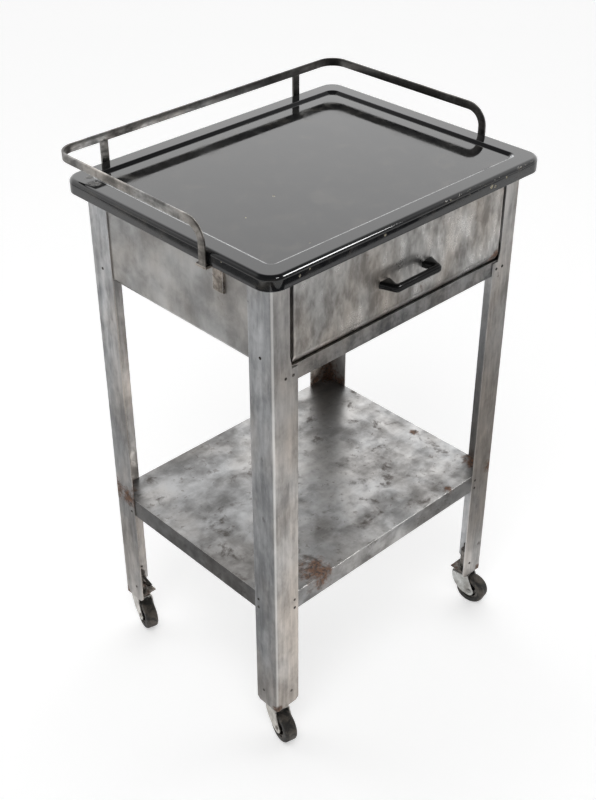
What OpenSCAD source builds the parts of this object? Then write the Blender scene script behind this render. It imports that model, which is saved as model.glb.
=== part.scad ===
// Instrument cart: enamelled top with a guard rail, one drawer, a shelf and four swivel casters.
// Millimetres, +Z up, front faces -Y, origin on the floor under the middle of the cart.

/* [Tabletop] */
// Width of the enamelled top, left to right
top_width = 508; // [400:2:640]
// Depth of the enamelled top, front to back
top_depth = 406; // [320:2:520]
// Height of the top's border above the floor
top_height = 802; // [700:2:900]
// Depth of the skirt round the top
skirt_depth = 20; // [16:1:30]
// Corner radius of the top seen from above
top_corner = 24; // [16:1:40]
// Radius rolled along the top edge
top_edge = 6; // [4:0.5:10]
// Width of the flat border before the recess
border_width = 26.5; // [18:0.5:40]
// Width of the sloping step into the recess
step_width = 4.8; // [3:0.2:8]
// Depth of the recess
step_depth = 3.8; // [2:0.2:6]
// Enamelled sheet thickness
top_sheet = 1.6; // [1.2:0.1:2.4]

/* [Frame] */
// Distance across the outer faces of the legs, left to right
frame_width = 465; // [360:1:600]
// Distance across the outer faces of the legs, front to back
frame_depth = 365; // [280:1:480]
// Width of each leg flange
leg_flange = 43; // [30:1:60]
// Leg sheet thickness
leg_sheet = 1.8; // [1.2:0.1:3]
// Outside bend radius down each leg's corner
leg_bend = 4; // [3:0.5:8]
// Height of the leg ends above the floor
leg_foot = 62; // [56:1:80]
// Height of the lower edge of the side and back panels
panel_bottom = 656; // [600:1:700]
// Panel and shelf sheet thickness
panel_sheet = 1.4; // [1:0.1:2]
// Height of the front rail's lower edge
front_rail_bottom = 631; // [590:1:660]
// Height of the front rail
front_rail_height = 23; // [14:1:30]

/* [Shelf] */
// Height of the shelf surface
shelf_top = 275; // [150:1:400]
// Depth of the lips turned down round the shelf
shelf_lip = 31; // [20:1:45]

/* [Guard rail] */
// Height of the flat bar
bar_height = 12; // [8:0.5:20]
// Thickness of the flat bar
bar_thickness = 3.2; // [2:0.1:5]
// Height of the bar's lower edge above the border
bar_clearance = 26; // [16:1:50]
// Air gap between the bar and the skirt
bar_gap = 2.4; // [1.5:0.1:5]
// Outside radius of the bar at the two back corners
bar_corner = 28; // [16:1:45]
// Outside radius where the bar turns down at the front
bar_drop_radius = 32; // [24:1:50]
// How far in front of the middle the side bars come down
bar_drop = 96; // [60:1:140]
// Distance of each back post from the middle
post_spread = 179.5; // [80:1:210]

/* [Drawer] */
// Width of the drawer front
drawer_front_width = 394; // [300:1:500]
// Height of the drawer front
drawer_front_height = 129; // [90:1:150]
// How far the drawer front stands proud of the legs
drawer_proud = 1.6; // [0:0.1:4]
// Depth of the folded drawer front
drawer_front_depth = 14; // [10:1:20]
// Height of the drawer box
drawer_box_height = 104; // [70:1:110]
// Depth of the drawer box, front to back
drawer_box_depth = 318; // [220:1:330]
// Drawer sheet thickness
drawer_sheet = 1.4; // [1:0.1:2]
// How far the drawer slides out
drawer_travel = 240; // [150:5:260]
// Handle length over its feet
handle_length = 104; // [80:1:130]
// Sideways place of the handle on the drawer front
handle_offset = 3; // [-20:1:20]
// Height of the handle below the border of the top
handle_drop = 93; // [70:1:110]

/* [Casters] */
// Wheel diameter over the tyre
wheel_diameter = 50; // [40:1:52]
// Tyre width
wheel_width = 20; // [14:1:24]
// Distance from the swivel axis back to the axle
caster_trail = 17; // [10:1:20]
// Inset of the swivel axis from the leg's outer faces
caster_inset = 17.5; // [15:0.5:22]
// Resting swivel direction of the front left caster
swivel_front_left = 257; // [0:1:360]
// Resting swivel direction of the front right caster
swivel_front_right = 281; // [0:1:360]
// Resting swivel direction of the back left caster
swivel_back_left = 255; // [0:1:360]
// Resting swivel direction of the back right caster
swivel_back_right = 268; // [0:1:360]

/* [Hidden] */

round_sides = 48;
cut_margin = 1;
slide_gap = 0.4;

// Planes of the frame
leg_x = frame_width / 2;
leg_y = frame_depth / 2;
inner_x = leg_x - leg_sheet;
inner_y = leg_y - leg_sheet;
skirt_bottom = top_height - skirt_depth;
case_top = top_height - step_depth - top_sheet;
edge_thickness = 4;

// Drawer planes
drawer_face_y = -leg_y - drawer_proud;
drawer_lap = 1.5;
drawer_top = skirt_bottom + drawer_lap;
drawer_bottom = drawer_top - drawer_front_height;
drawer_bevel = 13;
drawer_bevel_in = 6;
drawer_side_gap = 6;
notch_x = drawer_front_width / 2 + drawer_side_gap;
notch_gap = 2.9;
notch_bottom = drawer_bottom - notch_gap;
rail_shelf = 24;
rail_top = front_rail_bottom + front_rail_height;
rail_step = 14.6;
runner_sheet = 1.6;
runner_height = 16;
runner_play = 1.2;
runner_base = panel_bottom + panel_sheet;
box_half_width = 184;
box_bottom = runner_base + runner_sheet + slide_gap;
box_front_y = drawer_face_y + drawer_front_depth;
box_back_y = box_front_y + drawer_box_depth;
upper_rail_height = 12;

// Guard rail planes
bar_x = top_width / 2 + bar_gap + bar_thickness;
bar_y = top_depth / 2 + bar_gap + bar_thickness;
bar_bottom = top_height + bar_clearance;
bar_top = bar_bottom + bar_height;
foot_below_skirt = 1.2;
bar_foot = skirt_bottom - foot_below_skirt;
lug_width = 19;
lug_drop = 46;
lug_lead = 1;

// Rivet heads
rivet_head = 2.4;
rivet_rise = 0.9;

// The grip reaches as far forward as the guard rail reaches back
handle_reach = bar_y + drawer_face_y;
handle_z = top_height - handle_drop;
grip_thickness = 7.5;
grip_height = 11;
foot_length = 22;

// Caster parts
wheel_radius = wheel_diameter / 2;
axle_radius = 3;
tyre_depth = 10;
fit_gap = 0.05;
side_gap = 0.5;
fork_sheet = 2;
fork_inner = wheel_width / 2 + side_gap;
fork_top = 57;
race_radius = 13.5;
stem_radius = 5;
socket_radius = 8.5;
socket_top = 100;
socket_sheet = 2;
stem_clearance = 2.5;

// Outline of a rectangle with round corners
module rounded_outline(width, depth, radius) {
    square([width - 2 * radius, depth], center = true);
    square([width, depth - 2 * radius], center = true);
    for (x = [-1, 1])
        for (y = [-1, 1])
            translate([x * (width / 2 - radius), y * (depth / 2 - radius)])
                circle(r = radius, $fn = round_sides);
}

// Upright block with round corners, standing on z = 0
module rounded_block(width, depth, height, radius) {
    linear_extrude(height)
        rounded_outline(width, depth, radius);
}

// Box from its low corner to its high corner
module box_between(low, high) {
    translate(low)
        cube(high - low);
}

// Solid prism along X from a profile drawn in Y and Z
module prism_x(low_x, high_x) {
    translate([low_x, 0, 0])
        rotate([90, 0, 90])
            linear_extrude(high_x - low_x)
                children();
}

// Solid prism along Y from a profile drawn in X and Z
module prism_y(low_y, high_y) {
    translate([0, high_y, 0])
        rotate([90, 0, 0])
            linear_extrude(high_y - low_y)
                children();
}

// Section through the rim from the corner's centre outward, its upper edge rolled over
module rim_profile() {
    square([top_corner - top_edge, skirt_depth]);
    square([top_corner, skirt_depth - top_edge]);
    translate([top_corner - top_edge, skirt_depth - top_edge])
        circle(r = top_edge, $fn = round_sides);
}

// Outer form of the top: middle, four straight rims and four round corners
module top_form() {
    middle_width = top_width - 2 * top_corner;
    middle_depth = top_depth - 2 * top_corner;
    translate([0, 0, skirt_bottom]) {
        translate([-middle_width / 2, -middle_depth / 2, 0])
            cube([middle_width, middle_depth, skirt_depth]);
        for (side = [0, 1]) {
            mirror([side, 0, 0])
                prism_y(-middle_depth / 2, middle_depth / 2)
                    translate([middle_width / 2, 0])
                        rim_profile();
            mirror([0, side, 0])
                prism_x(-middle_width / 2, middle_width / 2)
                    translate([middle_depth / 2, 0])
                        rim_profile();
            for (end = [0, 1])
                mirror([side, 0, 0])
                    mirror([0, end, 0])
                        translate([middle_width / 2, middle_depth / 2, 0])
                            rotate_extrude(angle = 90, $fn = round_sides)
                                rim_profile();
        }
    }
}

// Recess with sloping sides sunk into the border
module top_recess() {
    floor_z = top_height - step_depth;
    lift = cut_margin / step_depth * step_width;
    outer_x = top_width / 2 - border_width;
    outer_y = top_depth / 2 - border_width;
    intersection() {
        prism_y(-top_depth / 2, top_depth / 2)
            polygon([
                [-outer_x + step_width, floor_z],
                [outer_x - step_width, floor_z],
                [outer_x + lift, top_height + cut_margin],
                [-outer_x - lift, top_height + cut_margin]
            ]);
        prism_x(-top_width / 2, top_width / 2)
            polygon([
                [-outer_y + step_width, floor_z],
                [outer_y - step_width, floor_z],
                [outer_y + lift, top_height + cut_margin],
                [-outer_y - lift, top_height + cut_margin]
            ]);
    }
}

module tabletop() {
    tray_width = top_width - 2 * (border_width - top_sheet);
    tray_depth = top_depth - 2 * (border_width - top_sheet);
    color([0.04, 0.04, 0.045])
        difference() {
            top_form();
            top_recess();
            translate([0, 0, skirt_bottom - cut_margin])
                rounded_block(
                    top_width - 2 * top_sheet, top_depth - 2 * top_sheet,
                    skirt_depth - top_edge + cut_margin, top_corner - top_sheet
                );
            difference() {
                translate([0, 0, skirt_bottom])
                    rounded_block(
                        top_width - 2 * edge_thickness, top_depth - 2 * edge_thickness,
                        skirt_depth - top_sheet, top_corner - edge_thickness
                    );
                translate([-tray_width / 2, -tray_depth / 2, case_top])
                    cube([tray_width, tray_depth, skirt_depth]);
            }
        }
}

// L section with a round outer bend, corner at the origin and flanges toward +X and +Y
module leg_section() {
    difference() {
        union() {
            translate([leg_bend, 0])
                square([leg_flange - leg_bend, leg_flange]);
            translate([0, leg_bend])
                square([leg_flange, leg_flange - leg_bend]);
            translate([leg_bend, leg_bend])
                circle(r = leg_bend, $fn = round_sides);
        }
        translate([leg_bend, leg_sheet])
            square([leg_flange, leg_flange]);
        translate([leg_sheet, leg_bend])
            square([leg_flange, leg_flange]);
        translate([leg_bend, leg_bend])
            circle(r = leg_bend - leg_sheet, $fn = round_sides);
    }
}

// Straight leg with the free lower corners clipped off
module leg_bar() {
    clip = 7;
    difference() {
        translate([0, 0, leg_foot])
            linear_extrude(case_top - leg_foot)
                leg_section();
        translate([leg_flange, -cut_margin, leg_foot])
            rotate([0, 45, 0])
                cube([clip, leg_flange, clip], center = true);
        translate([-cut_margin, leg_flange, leg_foot])
            rotate([45, 0, 0])
                cube([leg_flange, clip, clip], center = true);
    }
}

// Front leg, its front flange cut narrower beside the drawer
module front_leg() {
    notch_width = leg_flange - (leg_x - notch_x);
    taper = 6;
    difference() {
        leg_bar();
        prism_y(-cut_margin, leg_sheet + cut_margin)
            polygon([
                [leg_flange - notch_width, notch_bottom + 3 * taper],
                [leg_flange - notch_width + 0.6 * taper, notch_bottom],
                [leg_flange + cut_margin, notch_bottom],
                [leg_flange + cut_margin, case_top + cut_margin],
                [leg_flange - notch_width, case_top + cut_margin]
            ]);
    }
}

// Puts a corner-based part at one corner of the frame, mirrored to suit
module at_corner(side, end) {
    translate([side * leg_x, end * leg_y, 0])
        mirror([side > 0 ? 1 : 0, 0, 0])
            mirror([0, end > 0 ? 1 : 0, 0])
                children();
}

module leg_front_left() {
    color([0.55, 0.55, 0.54])
        at_corner(-1, -1)
            front_leg();
}

module leg_front_right() {
    color([0.55, 0.55, 0.54])
        at_corner(1, -1)
            front_leg();
}

module leg_back_left() {
    color([0.55, 0.55, 0.54])
        at_corner(-1, 1)
            leg_bar();
}

module leg_back_right() {
    color([0.55, 0.55, 0.54])
        at_corner(1, 1)
            leg_bar();
}

// Panel profile: outer face at 0, thickness toward +, lower edge rolled inward
module panel_profile(thickness) {
    roll = 7;
    translate([0, panel_bottom + roll])
        square([thickness, case_top - panel_bottom - roll]);
    polygon([
        [0, panel_bottom + roll],
        [thickness, panel_bottom + roll],
        [thickness + 5, panel_bottom + thickness],
        [thickness + 13, panel_bottom + thickness],
        [thickness + 13, panel_bottom],
        [thickness + 4, panel_bottom]
    ]);
}

// One side panel, welded behind the leg flanges
module side_panel(side) {
    color([0.6, 0.6, 0.58])
        mirror([side > 0 ? 1 : 0, 0, 0])
            translate([-inner_x, 0, 0])
                prism_y(-inner_y + leg_bend, inner_y - leg_bend)
                    panel_profile(panel_sheet);
}

module side_panel_left() {
    side_panel(-1);
}

module side_panel_right() {
    side_panel(1);
}

module back_panel() {
    reach = inner_x - leg_bend - 16;
    color([0.6, 0.6, 0.58])
        translate([0, inner_y, 0])
            mirror([0, 1, 0])
                prism_x(-reach, reach)
                    panel_profile(panel_sheet);
}

// Channel under the drawer, its ends behind the front flanges of the legs
module front_rail() {
    reach = inner_x - leg_bend - 2;
    step_reach = reach - 14;
    color([0.5, 0.49, 0.47])
        translate([0, -inner_y, 0]) {
            prism_x(-reach, reach) {
                translate([0, front_rail_bottom])
                    square([panel_sheet, front_rail_height]);
                translate([0, front_rail_bottom])
                    square([rail_shelf / 2, panel_sheet]);
                translate([0, rail_top - panel_sheet])
                    square([rail_step, panel_sheet]);
            }
            prism_x(-step_reach, step_reach) {
                translate([rail_step - panel_sheet, rail_top - panel_sheet])
                    square([panel_sheet, runner_base - rail_top + panel_sheet]);
                translate([rail_step - panel_sheet, runner_base - panel_sheet])
                    square([rail_shelf, panel_sheet]);
            }
        }
}

// Angle above the drawer, hidden behind the skirt
module upper_rail() {
    reach = notch_x + 18;
    color([0.5, 0.49, 0.47])
        prism_x(-reach, reach)
            translate([-inner_y, 0]) {
                translate([0, case_top - upper_rail_height])
                    square([panel_sheet, upper_rail_height]);
                translate([0, case_top - panel_sheet])
                    square([rail_shelf, panel_sheet]);
            }
}

// Angle that carries one side of the drawer box, resting on the front rail and the back panel
module drawer_runner(side) {
    wall_x = box_half_width + runner_play;
    ledge = 14;
    front_gap = 3;
    back_gap = 7.5;
    color([0.45, 0.44, 0.42])
        mirror([side < 0 ? 1 : 0, 0, 0])
            prism_y(-inner_y + rail_step + front_gap, inner_y - back_gap)
                translate([wall_x, runner_base]) {
                    translate([-ledge, 0])
                        square([ledge + runner_sheet, runner_sheet]);
                    square([runner_sheet, runner_height]);
                }
}

module drawer_runner_left() {
    drawer_runner(-1);
}

module drawer_runner_right() {
    drawer_runner(1);
}

// Tray turned down on all four sides, its lips inside the leg flanges
module shelf() {
    corner = 3;
    color([0.5, 0.49, 0.47])
        difference() {
            translate([0, 0, shelf_top - shelf_lip])
                rounded_block(2 * inner_x, 2 * inner_y, shelf_lip, corner);
            translate([0, 0, shelf_top - shelf_lip - cut_margin])
                rounded_block(
                    2 * (inner_x - panel_sheet), 2 * (inner_y - panel_sheet),
                    shelf_lip - panel_sheet + cut_margin, corner - panel_sheet
                );
        }
}

// One side of the guard rail, with the bend down to its foot
module guard_side(side) {
    bend_y = -bar_drop + bar_drop_radius;
    bend_z = bar_top - bar_drop_radius;
    inner_radius = bar_drop_radius - bar_height;
    mirror([side < 0 ? 1 : 0, 0, 0])
        prism_x(bar_x - bar_thickness, bar_x) {
            translate([bend_y, bar_bottom])
                square([bar_y - bar_corner - bend_y, bar_height]);
            translate([-bar_drop, bar_foot])
                square([bar_height, bend_z - bar_foot]);
            intersection() {
                translate([bend_y, bend_z])
                    difference() {
                        circle(r = bar_drop_radius, $fn = round_sides);
                        circle(r = inner_radius, $fn = round_sides);
                    }
                translate([-bar_drop, bend_z])
                    square([bar_drop_radius, bar_drop_radius]);
            }
        }
}

module guard_rail() {
    corner_x = bar_x - bar_corner;
    corner_y = bar_y - bar_corner;
    color([0.5, 0.5, 0.49]) {
        guard_side(-1);
        guard_side(1);
        box_between(
            [-corner_x, bar_y - bar_thickness, bar_bottom],
            [corner_x, bar_y, bar_top]
        );
        for (side = [0, 1])
            mirror([side, 0, 0])
                translate([corner_x, corner_y, bar_bottom])
                    rotate_extrude(angle = 90, $fn = round_sides)
                        translate([bar_corner - bar_thickness, 0])
                            square([bar_thickness, bar_height]);
    }
}

// Flat posts under the back bar
module guard_posts() {
    color([0.45, 0.45, 0.44])
        for (side = [-1, 1])
            translate([side * post_spread - bar_height / 2, bar_y - bar_thickness, bar_foot])
                cube([bar_height, bar_thickness, bar_bottom - bar_foot]);
}

// Bent lug from a foot in under the skirt and down the panel, corner outermost on +X
module lug(panel_face, outer_face) {
    bend = bar_thickness + 1.5;
    top_z = bar_foot;
    low_z = bar_foot - lug_drop;
    translate([panel_face + bend, top_z - bend])
        difference() {
            circle(r = bend, $fn = round_sides);
            circle(r = bend - bar_thickness, $fn = round_sides);
            translate([0, -bend])
                square([bend, 2 * bend]);
            translate([-bend, -bend])
                square([2 * bend, bend]);
        }
    translate([panel_face, low_z])
        square([bar_thickness, top_z - bend - low_z]);
    translate([panel_face + bend, top_z - bar_thickness])
        square([outer_face - panel_face - bend, bar_thickness]);
}

module guard_lugs() {
    color([0.42, 0.38, 0.34]) {
        for (side = [0, 1])
            mirror([side, 0, 0])
                prism_y(-bar_drop - lug_lead, -bar_drop - lug_lead + lug_width)
                    lug(inner_x, bar_x);
        for (side = [-1, 1])
            prism_x(side * post_spread - lug_width / 2, side * post_spread + lug_width / 2)
                lug(inner_y, bar_y);
    }
}

// Low round head standing on z = 0
module round_head(radius, height) {
    ball = (radius * radius + height * height) / (2 * height);
    rotate_extrude($fn = 24)
        intersection() {
            translate([0, height - ball])
                circle(r = ball, $fn = round_sides);
            square([radius + 1, height]);
        }
}

// Rivet head on an outer leg face: facing along Y for a front or back flange
module head_on_y(x, y, z) {
    translate([x, y, z])
        rotate([y < 0 ? 90 : -90, 0, 0])
            round_head(rivet_head, rivet_rise);
}

// Rivet head on an outer leg face: facing along X for a side flange
module head_on_x(x, y, z) {
    translate([x, y, z])
        rotate([0, x < 0 ? -90 : 90, 0])
            round_head(rivet_head, rivet_rise);
}

module frame_rivets() {
    rail_z = front_rail_bottom + 10;
    panel_z = panel_bottom + 15;
    side_inset = 22;
    back_inset = 32;
    color([0.35, 0.34, 0.33])
        for (side = [-1, 1]) {
            for (inset = [35, side_inset])
                head_on_y(side * (leg_x - inset), -leg_y, rail_z);
            for (end = [-1, 1])
                head_on_x(side * leg_x, end * (leg_y - side_inset), panel_z);
            head_on_y(side * (leg_x - back_inset), leg_y, panel_z);
        }
}

module shelf_rivets() {
    inset = 36;
    color([0.35, 0.34, 0.33])
        for (side = [-1, 1])
            for (end = [-1, 1])
                for (drop = [10, 25]) {
                    head_on_y(side * (leg_x - inset), end * leg_y, shelf_top - drop);
                    head_on_x(side * leg_x, end * (leg_y - inset), shelf_top - drop);
                }
}

module socket_rivets() {
    inset = 29;
    head_z = leg_foot + 26;
    color([0.35, 0.34, 0.33])
        for (side = [-1, 1])
            for (end = [-1, 1]) {
                head_on_y(side * (leg_x - inset), end * leg_y, head_z);
                head_on_x(side * leg_x, end * (leg_y - inset), head_z);
            }
}

// Stem socket inside a leg: plate, tube and two riveted tabs, corner-based
module caster_socket() {
    plate = 34;
    tab_start = 27;
    tab_height = 32;
    cap = 2;
    plate_z = leg_foot + 1;
    difference() {
        union() {
            translate([0, 0, plate_z])
                linear_extrude(socket_sheet) {
                    translate([leg_sheet, leg_bend])
                        square([plate - leg_sheet, plate - leg_bend]);
                    translate([leg_bend, leg_sheet])
                        square([plate - leg_bend, plate - leg_sheet]);
                }
            translate([leg_sheet, tab_start, plate_z])
                cube([socket_sheet, plate - tab_start, tab_height]);
            translate([tab_start, leg_sheet, plate_z])
                cube([plate - tab_start, socket_sheet, tab_height]);
            translate([caster_inset, caster_inset, plate_z])
                cylinder(r = socket_radius, h = socket_top - plate_z, $fn = round_sides);
        }
        translate([caster_inset, caster_inset, plate_z - cut_margin])
            cylinder(
                r = stem_radius + fit_gap, h = socket_top - cap - plate_z + cut_margin,
                $fn = round_sides
            );
    }
}

module socket_front_left() {
    color([0.4, 0.4, 0.39])
        at_corner(-1, -1)
            caster_socket();
}

module socket_front_right() {
    color([0.4, 0.4, 0.39])
        at_corner(1, -1)
            caster_socket();
}

module socket_back_left() {
    color([0.4, 0.4, 0.39])
        at_corner(-1, 1)
            caster_socket();
}

module socket_back_right() {
    color([0.4, 0.4, 0.39])
        at_corner(1, 1)
            caster_socket();
}

// Bent strip clip on the back left socket, its nose just past the leg flange
module socket_clip() {
    strip_width = 4;
    root_lap = 0.3;
    nose_reach = 2.5;
    root_y = leg_y - caster_inset - socket_radius + root_lap;
    nose_y = leg_y - leg_flange - nose_reach;
    high_z = leg_foot + 36;
    low_z = leg_foot + 20;
    middle_z = leg_foot + 28;
    color([0.2, 0.18, 0.17])
        prism_x(
            -leg_x + caster_inset - strip_width / 2, -leg_x + caster_inset + strip_width / 2
        )
            difference() {
                polygon([
                    [root_y, low_z], [nose_y + 1.5, middle_z - 2], [nose_y, middle_z],
                    [nose_y + 1.5, middle_z + 2], [root_y, high_z]
                ]);
                polygon([
                    [root_y + 1, low_z + 1.8], [nose_y + 3.5, middle_z],
                    [root_y + 1, high_z - 1.8]
                ]);
            }
}

// Side profile of the drawer front, inset all round by a margin and open at the back if inset
module front_profile(inset) {
    back = drawer_front_depth + (inset > 0 ? cut_margin : 0);
    polygon([
        [inset, drawer_top - inset],
        [inset, drawer_bottom + drawer_bevel + inset / 3],
        [drawer_bevel_in + inset * 0.7, drawer_bottom + inset],
        [back, drawer_bottom + inset],
        [back, drawer_top - inset]
    ]);
}

module drawer_front() {
    half = drawer_front_width / 2;
    edge = 3;
    color([0.58, 0.57, 0.55])
        translate([0, drawer_face_y, 0])
            difference() {
                intersection() {
                    prism_x(-half, half)
                        front_profile(0);
                    translate([0, drawer_front_depth, drawer_bottom])
                        rounded_block(
                            drawer_front_width, 2 * drawer_front_depth, drawer_front_height, edge
                        );
                }
                prism_x(-half + drawer_sheet, half - drawer_sheet)
                    front_profile(drawer_sheet);
            }
}

module drawer_box() {
    corner = 4;
    color([0.45, 0.44, 0.43])
        translate([0, (box_front_y + box_back_y) / 2, box_bottom])
            difference() {
                rounded_block(2 * box_half_width, drawer_box_depth, drawer_box_height, corner);
                translate([0, 0, drawer_sheet])
                    rounded_block(
                        2 * (box_half_width - drawer_sheet), drawer_box_depth - 2 * drawer_sheet,
                        drawer_box_height, corner - drawer_sheet
                    );
            }
}

// Bow handle with splayed feet
module drawer_handle() {
    foot_outer = handle_length / 2;
    foot_inner = foot_outer - foot_length;
    grip_outer = foot_outer - 8;
    grip_inner = grip_outer - 9;
    bend = 6;
    rounding = 3.5;
    inside = handle_reach - grip_thickness;
    color([0.03, 0.03, 0.03])
        translate([handle_offset, drawer_face_y, handle_z - grip_height / 2])
            intersection() {
                linear_extrude(grip_height)
                    difference() {
                        union() {
                            polygon([
                                [-foot_outer, 0],
                                [-grip_outer - 0.4, -handle_reach + bend],
                                [-grip_outer + bend, -handle_reach],
                                [grip_outer - bend, -handle_reach],
                                [grip_outer + 0.4, -handle_reach + bend],
                                [foot_outer, 0]
                            ]);
                            for (side = [-1, 1])
                                translate([side * (grip_outer - bend), -handle_reach + bend])
                                    circle(r = bend, $fn = round_sides);
                        }
                        polygon([
                            [-foot_inner, cut_margin], [-foot_inner, 0], [-grip_inner, -inside],
                            [grip_inner, -inside], [foot_inner, 0], [foot_inner, cut_margin]
                        ]);
                    }
                prism_x(-foot_outer - 1, foot_outer + 1)
                    translate([0, grip_height / 2])
                        rounded_outline(2 * handle_reach, grip_height, rounding);
            }
}

// Screw heads inside the drawer front, under the handle's feet
module handle_screws() {
    spread = handle_length / 2 - foot_length / 2;
    head = 4;
    head_height = 2.4;
    color([0.5, 0.5, 0.48])
        for (side = [-1, 1])
            translate([handle_offset + side * spread, drawer_face_y + drawer_sheet, handle_z])
                rotate([-90, 0, 0])
                    round_head(head, head_height);
}

// Angle ears on the drawer sides that meet the upper rail when the drawer is fully out
module drawer_stops() {
    stop_gap = 0.3;
    front_y = -inner_y + panel_sheet + drawer_travel + stop_gap;
    ear = 13;
    overlap = 18;
    ear_below_case = 6.5;
    stop_height = case_top - ear_below_case - box_bottom - drawer_box_height + overlap;
    color([0.4, 0.39, 0.38])
        for (side = [0, 1])
            mirror([side, 0, 0])
                translate([box_half_width, front_y, box_bottom + drawer_box_height - overlap])
                    linear_extrude(stop_height) {
                        square([drawer_sheet, ear]);
                        square([ear, drawer_sheet]);
                    }
}

// Places a caster part: swivel axis at the leg's socket, turned to its resting direction
module at_caster(side, end, swivel) {
    translate([side * (leg_x - caster_inset), end * (leg_y - caster_inset), 0])
        rotate([0, 0, swivel])
            children();
}

// Fixed race under the socket plate
module caster_race() {
    race_z = fork_top + slide_gap;
    lip = 1.2;
    lip_inset = 2.5;
    difference() {
        union() {
            translate([0, 0, race_z + lip])
                cylinder(r = race_radius, h = leg_foot + 1 - race_z - lip, $fn = round_sides);
            translate([0, 0, race_z])
                cylinder(r = race_radius - lip_inset, h = lip, $fn = round_sides);
        }
        translate([0, 0, race_z - cut_margin])
            cylinder(r = stem_radius + fit_gap, h = leg_foot, $fn = round_sides);
    }
}

// Stem riveted up through the fork's crown
module caster_stem() {
    head = 7;
    head_height = 1.2;
    translate([0, 0, fork_top - fork_sheet])
        cylinder(
            r = stem_radius, h = socket_top - stem_clearance - fork_top + fork_sheet,
            $fn = round_sides
        );
    translate([0, 0, fork_top - fork_sheet - head_height])
        cylinder(r = head, h = head_height, $fn = round_sides);
}

// Cross-section of the fork: an upside-down U with round shoulders
module fork_section(half_width, crown_z, shoulder) {
    translate([-half_width, 0])
        square([2 * half_width, crown_z - shoulder]);
    translate([-half_width + shoulder, 0])
        square([2 * (half_width - shoulder), crown_z]);
    for (side = [-1, 1])
        translate([side * (half_width - shoulder), crown_z - shoulder])
            circle(r = shoulder, $fn = round_sides);
}

// Stamped fork, trailing along +X
module caster_fork() {
    crown_front = -16.5;
    crown_back = 13;
    sweep = 36.5;
    sweep_x = 20.3;
    sweep_z = 52.6;
    end_radius = 8.5;
    outer_half = fork_inner + fork_sheet;
    difference() {
        intersection() {
            difference() {
                prism_x(crown_front, caster_trail + end_radius + 1)
                    fork_section(outer_half, fork_top, 4);
                prism_x(crown_front - 1, caster_trail + end_radius + 2)
                    translate([0, -cut_margin])
                        fork_section(fork_inner, fork_top - fork_sheet + cut_margin, 2);
            }
            prism_y(-outer_half - 1, outer_half + 1) {
                intersection() {
                    translate([sweep_x, sweep_z])
                        circle(r = sweep, $fn = 2 * round_sides);
                    polygon([
                        [crown_front, fork_top + 1], [crown_back, fork_top + 1],
                        [crown_back + 1, fork_top - 6],
                        [caster_trail + end_radius, wheel_radius],
                        [caster_trail, wheel_radius],
                        [caster_trail, 0], [crown_front, 0]
                    ]);
                }
                translate([caster_trail, wheel_radius])
                    circle(r = end_radius, $fn = round_sides);
            }
        }
        translate([0, 0, fork_top - 2 * fork_sheet])
            cylinder(r = stem_radius, h = 3 * fork_sheet, $fn = round_sides);
        translate([caster_trail, 0, wheel_radius])
            rotate([90, 0, 0])
                cylinder(r = axle_radius, h = 3 * outer_half, center = true, $fn = round_sides);
    }
}

// Riveted axle across the fork
module caster_axle() {
    outer_half = fork_inner + fork_sheet;
    head = 4.6;
    head_height = 1.8;
    translate([caster_trail, 0, wheel_radius]) {
        rotate([90, 0, 0])
            cylinder(r = axle_radius, h = 2 * outer_half, center = true, $fn = round_sides);
        for (side = [-1, 1])
            translate([0, side * outer_half, 0])
                rotate([side > 0 ? -90 : 90, 0, 0])
                    round_head(head, head_height);
    }
}

// Wheel core with a boss each side
module caster_hub() {
    rim = wheel_radius - tyre_depth;
    boss = 7;
    web = 3;
    rim_sheet = 2.5;
    rim_inset = 1.5;
    translate([caster_trail, 0, wheel_radius])
        rotate([90, 0, 0])
            rotate_extrude($fn = round_sides) {
                translate([axle_radius + fit_gap, -wheel_width / 2])
                    square([boss - axle_radius, wheel_width]);
                translate([axle_radius + fit_gap, -web])
                    square([rim - axle_radius - fit_gap, 2 * web]);
                translate([rim - rim_sheet, -wheel_width / 2 + rim_inset])
                    square([rim_sheet, wheel_width - 2 * rim_inset]);
            }
}

// Solid tyre with round shoulders
module caster_tyre() {
    rim = wheel_radius - tyre_depth;
    shoulder = 4;
    translate([caster_trail, 0, wheel_radius])
        rotate([90, 0, 0])
            rotate_extrude($fn = round_sides) {
                translate([rim, -wheel_width / 2])
                    square([wheel_radius - shoulder - rim, wheel_width]);
                translate([rim, -wheel_width / 2 + shoulder])
                    square([wheel_radius - rim, wheel_width - 2 * shoulder]);
                for (side = [-1, 1])
                    translate([wheel_radius - shoulder, side * (wheel_width / 2 - shoulder)])
                        circle(r = shoulder, $fn = 24);
            }
}

module race_front_left() {
    color([0.4, 0.4, 0.39])
        at_caster(-1, -1, swivel_front_left)
            caster_race();
}

module race_front_right() {
    color([0.4, 0.4, 0.39])
        at_caster(1, -1, swivel_front_right)
            caster_race();
}

module race_back_left() {
    color([0.4, 0.4, 0.39])
        at_caster(-1, 1, swivel_back_left)
            caster_race();
}

module race_back_right() {
    color([0.4, 0.4, 0.39])
        at_caster(1, 1, swivel_back_right)
            caster_race();
}

module stem_front_left() {
    color([0.5, 0.5, 0.49])
        at_caster(-1, -1, swivel_front_left)
            caster_stem();
}

module stem_front_right() {
    color([0.5, 0.5, 0.49])
        at_caster(1, -1, swivel_front_right)
            caster_stem();
}

module stem_back_left() {
    color([0.5, 0.5, 0.49])
        at_caster(-1, 1, swivel_back_left)
            caster_stem();
}

module stem_back_right() {
    color([0.5, 0.5, 0.49])
        at_caster(1, 1, swivel_back_right)
            caster_stem();
}

module fork_front_left() {
    color([0.55, 0.55, 0.53])
        at_caster(-1, -1, swivel_front_left)
            caster_fork();
}

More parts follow.
